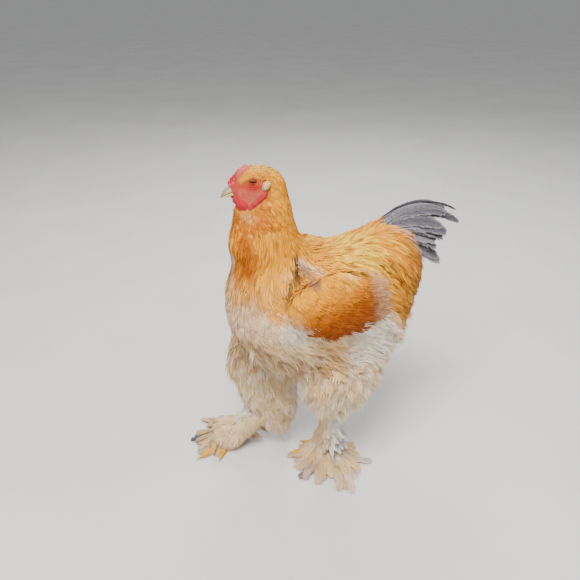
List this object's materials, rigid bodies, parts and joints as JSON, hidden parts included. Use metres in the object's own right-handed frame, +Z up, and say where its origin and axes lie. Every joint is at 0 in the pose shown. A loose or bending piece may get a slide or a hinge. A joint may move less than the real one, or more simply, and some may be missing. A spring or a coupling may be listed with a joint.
{
  "type": "chicken figure",
  "caption": "Life-size still model of a feather-footed brahma cockerel in mid stride, with a pea comb, full hackles, a short arched tail and booted legs",
  "frame": {"origin": "on the floor, under the middle of the bird's bounding box", "axes": "+Z up, the bird faces -Y, +X is its left side"},
  "size_m": [0.307, 0.494, 0.579],
  "materials": {
    "saddle_feathers": "soft matte feathers, golden buff",
    "hackle_feathers": "soft satin feathers, orange gold",
    "wing_feathers": "soft satin feathers, deep orange",
    "tail_feathers": "soft satin feathers, slate grey",
    "fluff": "downy matte feathers, cream",
    "ear_feathers": "short matte feathers, pale cream",
    "skin": "finely pebbled bare skin, red",
    "beak": "smooth horn, pale",
    "eye": "wet and glossy, red brown",
    "toes": "scaled skin, yellow",
    "claw": "smooth horn, pale"
  },
  "bodies": {
    "root": {"torso": "saddle_feathers", "neck": "hackle_feathers", "crown": "hackle_feathers", "face": "skin", "comb": "skin", "wattle_left": "skin", "wattle_right": "skin", "ear_lobe_left": "skin", "ear_lobe_right": "skin", "ear_tuft_left": "ear_feathers", "ear_tuft_right": "ear_feathers", "beak_upper": "beak", "beak_lower": "beak", "eye_left": "eye", "eye_right": "eye", "tail": "tail_feathers", "wing_left": "wing_feathers", "wing_right": "wing_feathers", "thigh_left": "fluff", "thigh_right": "fluff", "shank_left": "fluff", "shank_right": "fluff", "foot_left": "toes", "foot_right": "toes", "claw_left_inner": "claw", "claw_left_middle": "claw", "claw_left_outer": "claw", "claw_left_hind": "claw", "claw_right_inner": "claw", "claw_right_middle": "claw", "claw_right_outer": "claw", "claw_right_hind": "claw"}
  },
  "joints": []
}
